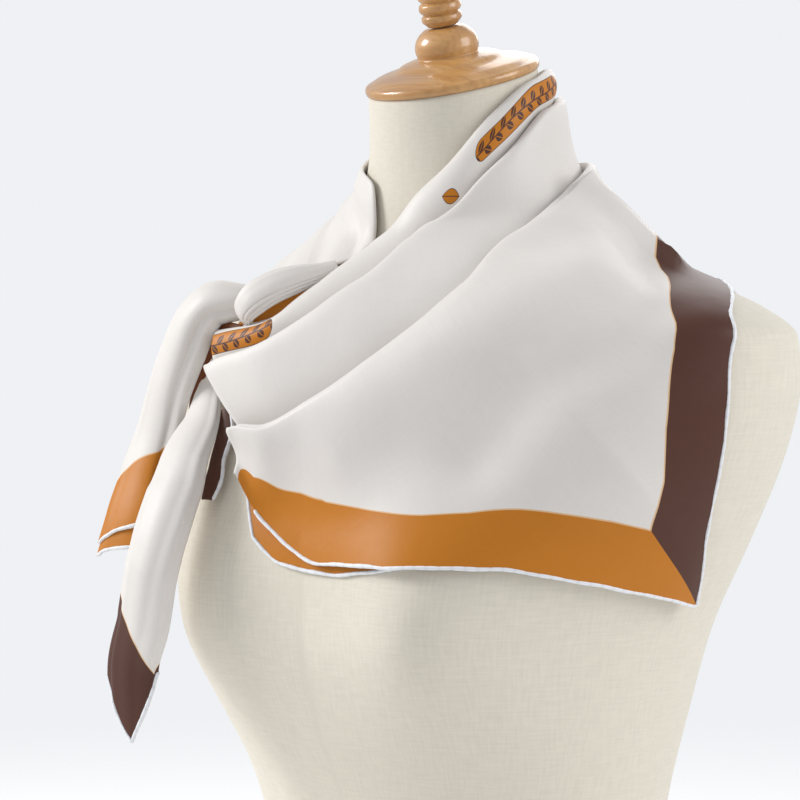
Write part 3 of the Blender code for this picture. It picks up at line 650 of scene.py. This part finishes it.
def silk_twill(name, ground, bordered):
    """Silk twill, yarn-dyed ground and screen-printed border: a soft satin sheen, a fine
    diagonal weave, and printed colours that lie flat in the cloth with crisp edges."""
    silk = bpy.context.scene.scarf_silk
    made, tree = finish_named(name, ground)
    where = node(tree, "TexCoord")
    cloudy = node(tree, "TexNoise", {"Vector": where.outputs["Object"], "Scale": 14.0, "Detail": 3.0})
    cloud = node(tree, "MapRange", {0: cloudy, 1: 0.3, 2: 0.7, 3: 0.965, 4: 1.02})
    colour = node(tree, "Mix", {0: 1.0, 6: (*ground, 1), 7: cloud}, data_type="RGBA", blend_type="MULTIPLY")
    colour = colour.outputs[2]
    if bordered:
        colour = leaf_print(tree, colour, tuple(silk.orange), tuple(silk.brown))
        orange = node(tree, "Attribute", attribute_name="orange_band").outputs["Fac"]
        brown = node(tree, "Attribute", attribute_name="brown_band").outputs["Fac"]
        most = node(tree, "Math", {0: orange, 1: brown}, operation="MAXIMUM")
        line = node(tree, "MapRange", {0: most, 1: -0.95, 2: -0.65})
        on_orange = node(tree, "MapRange", {0: orange, 1: -0.14, 2: 0.14})
        on_brown = node(tree, "MapRange", {0: brown, 1: -0.14, 2: 0.14})
        nearer = node(tree, "Math", {0: brown, 1: orange}, operation="SUBTRACT")
        nearer = node(tree, "MapRange", {0: nearer, 1: -0.14, 2: 0.14})
        on_brown = node(tree, "Math", {0: on_brown, 1: nearer}, operation="MULTIPLY")
        for share, ink in ((line, silk.edge_line), (on_orange, silk.orange), (on_brown, silk.brown)):
            inked = node(tree, "Mix", {0: share, 6: colour, 7: (*ink, 1)}, data_type="RGBA")
            colour = inked.outputs[2]
    # The real twill has about 0.15 mm between its lines, too fine to show, so it is drawn at 1.3 mm
    weave = crossed_threads(tree, 760.0, 60.0, 2.0)
    tone = node(tree, "MapRange", {0: weave, 1: 0.7, 2: 1.3, 3: 0.985, 4: 1.015})
    colour = node(tree, "Mix", {0: 1.0, 6: colour, 7: tone}, data_type="RGBA", blend_type="MULTIPLY")
    soft = node(tree, "TexNoise", {"Vector": where.outputs["Object"], "Scale": 38.0, "Detail": 3.0})
    soft_bump = node(tree, "Bump", {"Strength": 0.10, "Distance": 0.004, "Height": soft})
    bump = node(tree, "Bump", {"Strength": 0.05, "Distance": 0.0003, "Height": weave, "Normal": soft_bump})
    shader = node(tree, "BsdfPrincipled", {
        "Base Color": colour.outputs[2], "Roughness": 0.44, "IOR": 1.5, "Specular IOR Level": 0.22,
        "Sheen Weight": 0.04, "Sheen Roughness": 0.35, "Normal": bump})
    node(tree, "OutputMaterial", {0: shader})
    return made


def hem_silk(name, colour):
    """Silk rolled by hand and whipped down: bright along the roll, with painted shade darkening each stitch's
    nip.
    """
    made, tree = finish_named(name, colour)
    nip = node(tree, "Attribute", attribute_name="nip").outputs["Fac"]
    # Painted shade: the hem's colour falls to 0.92 of itself in each stitch's nip
    shade = node(tree, "MapRange", {0: nip, 1: 0.0, 2: 1.0, 3: 1.0, 4: 0.92})
    base = node(tree, "Mix", {0: 1.0, 6: (*colour, 1), 7: shade}, data_type="RGBA", blend_type="MULTIPLY")
    shader = node(tree, "BsdfPrincipled", {"Base Color": base.outputs[2], "Roughness": 0.5, "IOR": 1.5,
                                           "Sheen Weight": 0.2, "Sheen Roughness": 0.4})
    node(tree, "OutputMaterial", {0: shader})
    return made


def linen_weave(name, colour):
    """Plain-woven unbleached linen pulled over a padded shell: matt, with uneven slubs."""
    made, tree = finish_named(name, colour)
    # Threads are about 0.6 mm apart; the slubs that show are 1.5 mm thick and 15 mm long
    weave = crossed_threads(tree, 700.0, 70.0, 3.0)
    tone = node(tree, "MapRange", {0: weave, 1: 0.65, 2: 1.35, 3: 0.93, 4: 1.04})
    base = node(tree, "Mix", {0: 1.0, 6: (*colour, 1), 7: tone}, data_type="RGBA", blend_type="MULTIPLY")
    bump = node(tree, "Bump", {"Strength": 0.25, "Distance": 0.0005, "Height": weave})
    shader = node(tree, "BsdfPrincipled", {"Base Color": base.outputs[2], "Roughness": 0.88, "IOR": 1.5,
                                           "Sheen Weight": 0.15, "Sheen Roughness": 0.6, "Normal": bump})
    node(tree, "OutputMaterial", {0: shader})
    return made


def lacquered_wood(name, light, dark):
    """Honey-coloured hardwood, turned and clear lacquered: fine grain under a glossy coat."""
    made, tree = finish_named(name, light)
    where = node(tree, "TexCoord")
    # Grain lines lie about 1.6 mm apart and run across the cap
    grain = node(tree, "Mapping", {"Vector": where.outputs["Object"], "Scale": (18.0, 420.0, 300.0),
                                   "Rotation": (0.28, 0.1, 0.5)})
    grain = node(tree, "TexNoise", {"Vector": grain, "Scale": 1.0, "Detail": 4.0, "Roughness": 0.6})
    broad = node(tree, "Mapping", {"Vector": where.outputs["Object"], "Scale": (8.0, 60.0, 50.0),
                                   "Rotation": (0.28, 0.1, 0.5)})
    broad = node(tree, "TexNoise", {"Vector": broad, "Scale": 1.0, "Detail": 2.0})
    both = node(tree, "Math", {0: grain, 1: broad}, operation="ADD")
    share = node(tree, "MapRange", {0: both, 1: 0.75, 2: 1.25})
    base = node(tree, "Mix", {0: share, 6: (*light, 1), 7: (*dark, 1)}, data_type="RGBA")
    shader = node(tree, "BsdfPrincipled", {
        "Base Color": base.outputs[2], "Roughness": 0.42, "IOR": 1.5, "Coat Weight": 0.8,
        "Coat Roughness": 0.14, "Coat IOR": 1.5})
    node(tree, "OutputMaterial", {0: shader})
    return made


# ---------------------------------------------------------------------------- settings

class SilkSettings(bpy.types.PropertyGroup):
    """Sizes and colours of the silk."""

    wall: bpy.props.FloatProperty(
        name="Wall", description="Thickness of a wall of silk", default=0.0009, min=0.0002, unit="LENGTH")
    border: bpy.props.FloatProperty(
        name="Border", description="Scale of the border's edge; its widths are in the tables", default=0.034,
        min=0.0, unit="LENGTH")
    hem_width: bpy.props.FloatProperty(
        name="Hem width", description="Width of the rolled hem", default=0.0023, min=0.0005, unit="LENGTH")
    stitch_pitch: bpy.props.FloatProperty(
        name="Stitch pitch", description="Distance between the hem's stitches", default=0.0066, min=0.001,
        unit="LENGTH")
    ivory: bpy.props.FloatVectorProperty(
        name="Ivory", description="Colour of the ground", subtype="COLOR", default=linear("#DED9D4"))
    orange: bpy.props.FloatVectorProperty(
        name="Orange", description="Colour of one border", subtype="COLOR", default=linear("#BF7620"))
    brown: bpy.props.FloatVectorProperty(
        name="Brown", description="Colour of the other border", subtype="COLOR", default=linear("#53342A"))
    edge_line: bpy.props.FloatVectorProperty(
        name="Edge line", description="Colour of the thin line inside the border", subtype="COLOR",
        default=linear("#D9B48A"))
    # Painted shade: the border's inner side deep in the knot gets a darker copy of the orange in place of
    # real shadow
    painted_shade: bpy.props.FloatVectorProperty(
        name="Inner side in painted shade", description="Colour of the border's inner side deep in the knot: the orange darkened by painted shade", subtype="COLOR",
        default=linear("#6E3B1E"))
    hem: bpy.props.FloatVectorProperty(
        name="Hem", description="Colour of the rolled hem", subtype="COLOR", default=linear("#E6E8EC"))


class FormSettings(bpy.types.PropertyGroup):
    """Colours of the dress form."""

    linen: bpy.props.FloatVectorProperty(
        name="Linen", description="Colour of the linen", subtype="COLOR", default=linear("#DBD4C5"))
    wood_light: bpy.props.FloatVectorProperty(
        name="Light wood", description="Colour of the wood between its grain", subtype="COLOR",
        default=linear("#CB9A5E"))
    wood_dark: bpy.props.FloatVectorProperty(
        name="Grain", description="Colour of the wood's grain", subtype="COLOR", default=linear("#AC7A42"))


class StageSettings(bpy.types.PropertyGroup):
    """Colours and light of the stage."""

    backdrop: bpy.props.FloatVectorProperty(
        name="Backdrop", description="Colour all round the object", subtype="COLOR",
        default=linear("#EFF1F4"))
    floor: bpy.props.FloatVectorProperty(
        name="Floor", description="Colour of the floor", subtype="COLOR", default=linear("#F2F2F2"))
    world_light: bpy.props.FloatProperty(
        name="World light", description="Strength of the light from all round", default=0.66, min=0.0)
    key_power: bpy.props.FloatProperty(
        name="Key power", description="Power of the large soft light", default=52.0, min=0.0, unit="POWER")
    lens: bpy.props.FloatProperty(
        name="Lens", description="Focal length on a 36 mm sensor", default=136.607, min=10.0)


# ---------------------------------------------------------------------------- pieces

class SCARF_OT_form(bpy.types.Operator):
    """Builds the linen dress form"""

    bl_idname = "scarf.form"
    bl_label = "Dress form"

    def execute(self, context):
        form = context.scene.scarf_form
        finish = linen_weave("Unbleached plain-weave linen", tuple(form.linen))
        turns = np.linspace(0, 360, FORM_SIDES, endpoint=False)
        rings = np.array(FORM_RINGS)[:, 0]
        between = [np.linspace(a, b, RING_STEPS, endpoint=False) for a, b in zip(rings[:-1], rings[1:])]
        levels = np.append(np.concatenate(between), rings[-1])
        grid = skin(turns[None, :], levels[:, None])
        rows, columns = grid.shape[:2]
        faces = grid_faces(rows, columns, closed=True, capped=True)
        down = run_along(grid)
        round_way = np.radians(turns)[None, :] * 130.0 + np.zeros((rows, 1))
        place = np.stack([round_way, down[:, None] + np.zeros((1, columns))], -1) * MM
        made = mesh_object("form_linen", grid, faces, finish, {"cloth": place})
        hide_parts("form_body")
        return {"FINISHED"}


class SCARF_OT_wood(bpy.types.Operator):
    """Builds the turned neck cap and finial"""

    bl_idname = "scarf.wood"
    bl_label = "Neck cap and finial"

    def execute(self, context):
        form = context.scene.scarf_form
        finish = lacquered_wood("Lacquered honey beech", tuple(form.wood_light), tuple(form.wood_dark))
        cap = turned("cap_turned", CAP_PROFILE, WOOD_GAP, finish)
        finial = turned("finial_turned", FINIAL_PROFILE, WOOD_GAP * 2 + CAP_PROFILE[0][1], finish)
        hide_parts("neck_cap")
        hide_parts("finial")
        return {"FINISHED"}


class SCARF_OT_drape(bpy.types.Operator):
    """Builds the silk round the shoulders, with its border and rolled hem"""

    bl_idname = "scarf.drape"
    bl_label = "Silk round the shoulders"

    def execute(self, context):
        silk = context.scene.scarf_silk
        finish = silk_twill("Silk twill, ivory with printed border", tuple(silk.ivory), True)
        sewn = hem_silk("Hand-rolled silk hem", tuple(silk.hem))
        sections = np.concatenate([np.linspace(0, FINE_UNTIL, FINE_ROWS, endpoint=False),
                                   np.linspace(FINE_UNTIL, LAST_SECTION, BACK_ROWS)])
        grid = on_form(*rolled_end(*scarf_grid(sections, ACROSS_COUNT), ROLL_ROWS))
        section = np.concatenate([np.zeros(ROLL_ROWS), sections])

        line_part = np.linspace(0, LAST_SECTION, LINE_STEPS)
        line = on_form(*hem_at(line_part).T)
        orange_side = line_part <= CORNER_SECTION
        to_orange = away_from(grid, line[orange_side], section, line_part[orange_side])
        to_brown = away_from(grid, line[~orange_side], section, line_part[~orange_side])
        border = silk.border / MM
        orange_width = np.interp(section, *np.array(ORANGE_WIDTH, float).T)[:, None]
        brown_width = np.interp(section, *np.array(BROWN_WIDTH, float).T)[:, None]
        fields = {"orange_band": border * (1 - to_orange / orange_width),
                  "brown_band": np.maximum(border * (1 - to_brown / brown_width), NO_BORDER)}

        across = b_spline(ACROSS, grid.shape[1])[:, 0]
        turned_in = np.arange(len(across)) < np.argmin(across)
        stem = int(np.argmin(np.abs(across - PRINT_MIDDLE) + 10 * turned_in))
        run = run_along(grid[:, stem])
        reach = np.hstack([np.zeros((len(grid), 1)),
                           np.cumsum(np.linalg.norm(np.diff(grid, axis=1), axis=-1), axis=1)])
        leaf_map = np.stack([run[:, None] + np.zeros_like(reach), reach - reach[:, stem:stem + 1]], -1) * MM
        made = cloth("scarf_drape", grid, finish, fields, {"print": leaf_map})
        shown = (section > HEM_SHOWN[0]) & (section < HEM_SHOWN[1])
        hem = rolled_hem("scarf_drape_hem", grid[shown, -1], sewn)
        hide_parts("drape_front", "drape_back", "wrap_right")
        return {"FINISHED"}


class SCARF_OT_under_layer(bpy.types.Operator):
    """Builds the second layer that shows below the first one's hem"""

    bl_idname = "scarf.under_layer"
    bl_label = "Second layer"

    def execute(self, context):
        silk = context.scene.scarf_silk
        finish = silk_twill("Silk twill, orange", tuple(silk.orange), False)
        sewn = bpy.data.materials["Hand-rolled silk hem"]
        rows = glide(UNDER_LAYER, np.linspace(0, len(UNDER_LAYER) - 1, 100))
        share = np.linspace(0, 1, 26)[None, :]
        turn = rows[:, 2:3] * (1 - share) + rows[:, 0:1] * share
        level = rows[:, 3:4] * (1 - share) + rows[:, 1:2] * share
        grid = on_form(turn, level, np.full(turn.shape, UNDER_LIFT))
        made = cloth("second_layer", grid, finish)
        hem = rolled_hem("second_layer_hem", np.vstack([grid[0], grid[1:, -1]]), sewn)
        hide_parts("under_layer")
        return {"FINISHED"}


class SCARF_OT_knot(bpy.types.Operator):
    """Builds the band over the knot and the hem strip under it"""

    bl_idname = "scarf.knot"
    bl_label = "Knot"

    def execute(self, context):
        silk = context.scene.scarf_silk
        plain = silk_twill("Silk twill, ivory", tuple(silk.ivory), False)
        orange = bpy.data.materials["Silk twill, orange"]
        sewn = bpy.data.materials["Hand-rolled silk hem"]
        ridges = ((-0.38, 0.13, 0.045, 0.06), (-0.56, 0.17, 0.05, 0.03), (-0.76, 0.13, 0.05, 0.0),
                  (0.30, 0.05, 0.16, -0.2), (0.72, 0.08, 0.08, -0.3))
        band = cloth("knot_band_silk", hanging_grid(KNOT_BAND, 90, 110, grooves=ridges)[0], plain)
        strip_grid = hanging_grid(KNOT_HEM, 60, 30)[0]
        strip = cloth("knot_strip_silk", strip_grid, orange)
        lower = rolled_hem("knot_strip_hem_lower", strip_grid[:, 0], sewn)
        upper = rolled_hem("knot_strip_hem_upper", strip_grid[:, -1], sewn)
        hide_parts("knot_band")
        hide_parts("knot_hem")
        return {"FINISHED"}


class SCARF_OT_tails(bpy.types.Operator):
    """Builds the two hanging ends and the lining behind the second"""

    bl_idname = "scarf.tails"
    bl_label = "Hanging ends"

    def execute(self, context):
        silk = context.scene.scarf_silk
        finish = bpy.data.materials["Silk twill, ivory with printed border"]
        sewn = bpy.data.materials["Hand-rolled silk hem"]
        dark = silk_twill("Silk twill, brown", tuple(silk.brown), False)

        def border_on(grid, at, start, row_length):
            """How far inside the border each point lies, in mm, from the row where it starts."""
            begins = np.interp(np.linspace(-1, 1, grid.shape[1]), *np.array(start, float).T)
            return (at - begins[None]) * row_length

        def no_print(grid):
            """The print map of a piece that has no sprig on it."""
            return {"print": np.full(grid.shape[:2] + (2,), NO_PRINT)}

        soft = ((3, 0.06, 0.7), (7, 0.02, 0.3))
        grid, at = hanging_grid(TAIL_ORANGE, 190, 90, ORANGE_END, pleats=soft,
                                grooves=((-0.30, 0.30, 0.16, -0.15), (0.35, 0.07, 0.16, 0.2)))
        band = border_on(grid, at, ORANGE_START, ORANGE_ROW)
        fields = {"orange_band": band, "brown_band": np.full_like(band, NO_BORDER)}
        first = cloth("tail_orange_silk", grid, finish, fields, no_print(grid))
        first_hem = rolled_hem("tail_orange_hem", grid[-1], sewn)

        grid = hanging_grid(TAIL_ORANGE, 40, 60, ORANGE_INNER_END, start=6.0, inset=1.6, pleats=soft)[0]
        orange = bpy.data.materials["Silk twill, orange"]
        inner = cloth("tail_orange_inner_silk", grid, orange)
        inner_hem = rolled_hem("tail_orange_inner_hem", grid[-1], sewn)

        grid, at = hanging_grid(TAIL_BROWN, 210, 90, BROWN_END, pleats=soft,
                                grooves=((0.40, 0.07, 0.15, 0.3), (-0.45, 0.05, 0.12, 0.3)))
        band = border_on(grid, at, BROWN_START, BROWN_ROW)
        fields = {"orange_band": np.full_like(band, NO_BORDER), "brown_band": band}
        second = cloth("tail_brown_silk", grid, finish, fields, no_print(grid))
        second_hem = rolled_hem("tail_brown_hem", grid[-1], sewn)

        grid = hanging_grid(TAIL_BROWN_LINING, 60, 30)[0]
        lining = cloth("tail_lining_silk", grid, dark)
        lining_hem = rolled_hem("tail_lining_hem", grid[:, 0], sewn)
        # Painted shade: the turn of cloth inside the knot is coloured with a darkened copy of the orange
        painted_shade_silk = silk_twill("Silk twill, orange darkened by painted shade", tuple(silk.painted_shade), False)
        turn = cloth("knot_turn_silk", hanging_grid(KNOT_TURN, 50, 24)[0], painted_shade_silk)

        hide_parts("tail_orange")
        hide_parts("tail_orange")
        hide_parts("tail_brown")
        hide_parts("tail_brown")
        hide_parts("tail_brown_lining")
        return {"FINISHED"}


class SCARF_OT_stage(bpy.types.Operator):
    """Sets up the floor, the light and the camera"""

    bl_idname = "scarf.stage"
    bl_label = "Stage"

    def execute(self, context):
        stage = context.scene.scarf_stage
        world = bpy.data.worlds.new("Pale studio")
        world.use_nodes = True
        tree = world.node_tree
        tree.nodes.clear()
        seen = node(tree, "Background", {"Color": (*stage.backdrop, 1.0), "Strength": 1.0})
        cast = node(tree, "Background", {"Color": (*stage.backdrop, 1.0), "Strength": stage.world_light})
        both = node(tree, "MixShader", {0: node(tree, "LightPath"), 1: cast, 2: seen})
        node(tree, "OutputWorld", {0: both})
        context.scene.world = world
        context.scene.view_settings.view_transform = "Standard"

        # The floor fades out with distance from the form, so that no horizon shows
        made, tree = finish_named("Matt pale floor", tuple(stage.floor))
        where = node(tree, "TexCoord")
        flat = node(tree, "VectorMath", {0: where.outputs["Object"]}, operation="LENGTH")
        fade = node(tree, "MapRange", {0: flat.outputs["Value"], 1: FLOOR_FADE[0], 2: FLOOR_FADE[1]},
                    interpolation_type="SMOOTHSTEP")
        matt = node(tree, "BsdfPrincipled", {"Base Color": (*stage.floor, 1.0), "Roughness": 0.9})
        clear = node(tree, "BsdfTransparent")
        both = node(tree, "MixShader", {0: fade, 1: matt, 2: clear})
        node(tree, "OutputMaterial", {0: both})
        half = FLOOR_HALF
        mesh = bpy.data.meshes.new("floor")
        mesh.from_pydata([(-half, -half, 0), (half, -half, 0), (half, half, 0), (-half, half, 0)],
                         [], [(0, 1, 2, 3)])
        mesh.materials.append(made)
        floor = bpy.data.objects.new("floor", mesh)
        context.scene.collection.objects.link(floor)

        lights = (
            ("key", (-1.9, -1.3, 1.6), 1.0, stage.key_power, (-0.05, -0.05, 0.42)),
            ("fill", (1.9, 0.7, 1.3), 1.3, stage.key_power * 0.46, (0.0, 0.0, 0.42)),
            ("back", (-0.9, 1.9, 1.6), 1.4, stage.key_power * 0.25, (0.0, 0.0, 0.45)),
        )
        for name, place, size, power, aim in lights:
            lamp = bpy.data.lights.new(name, "AREA")
            lamp.shape, lamp.size, lamp.energy = "SQUARE", size, power
            made = bpy.data.objects.new(name, lamp)
            made.location = place
            made.rotation_euler = (Vector(aim) - Vector(place)).to_track_quat("-Z", "Y").to_euler()
            context.scene.collection.objects.link(made)

        camera = bpy.data.cameras.new("camera")
        camera.lens, camera.sensor_width = stage.lens, SENSOR
        camera.clip_start, camera.clip_end = 0.05, 50.0
        made = bpy.data.objects.new("camera", camera)
        made.location = CAMERA_PLACE
        made.rotation_euler = [math.radians(angle) for angle in CAMERA_TURN]
        context.scene.collection.objects.link(made)
        context.scene.camera = made
        return {"FINISHED"}


class SCARF_PT_panel(bpy.types.Panel):
    """Lists the pieces in the sidebar"""

    bl_idname = "SCARF_PT_panel"
    bl_label = "Silk scarf"
    bl_space_type = "VIEW_3D"
    bl_region_type = "UI"
    bl_category = "Scarf"

    def draw(self, context):
        for owner in SETTINGS.values():
            group = getattr(context.scene, owner)
            for key in group.bl_rna.properties.keys():
                if key not in ("name", "rna_type"):
                    self.layout.prop(group, key)
        for piece in OPERATORS:
            self.layout.operator(piece.bl_idname)


SETTINGS = {SilkSettings: "scarf_silk", FormSettings: "scarf_form", StageSettings: "scarf_stage"}
OPERATORS = (SCARF_OT_form, SCARF_OT_wood, SCARF_OT_drape, SCARF_OT_under_layer, SCARF_OT_knot,
             SCARF_OT_tails, SCARF_OT_stage)


def register():
    """Registers the settings, the operators and the panel."""
    for kind, owner in SETTINGS.items():
        bpy.utils.register_class(kind)
        setattr(bpy.types.Scene, owner, bpy.props.PointerProperty(type=kind))
    for kind in OPERATORS:
        bpy.utils.register_class(kind)
    bpy.utils.register_class(SCARF_PT_panel)


def unregister():
    """Takes back what register() did."""
    bpy.utils.unregister_class(SCARF_PT_panel)
    for kind in reversed(OPERATORS):
        bpy.utils.unregister_class(kind)
    for kind, owner in reversed(SETTINGS.items()):
        delattr(bpy.types.Scene, owner)
        bpy.utils.unregister_class(kind)


def main():
    """Builds every piece in order."""
    register()
    bpy.ops.scarf.form()
    bpy.ops.scarf.wood()
    bpy.ops.scarf.drape()
    bpy.ops.scarf.under_layer()
    bpy.ops.scarf.knot()
    bpy.ops.scarf.tails()
    bpy.ops.scarf.stage()


if __name__ == "__main__":
    main()
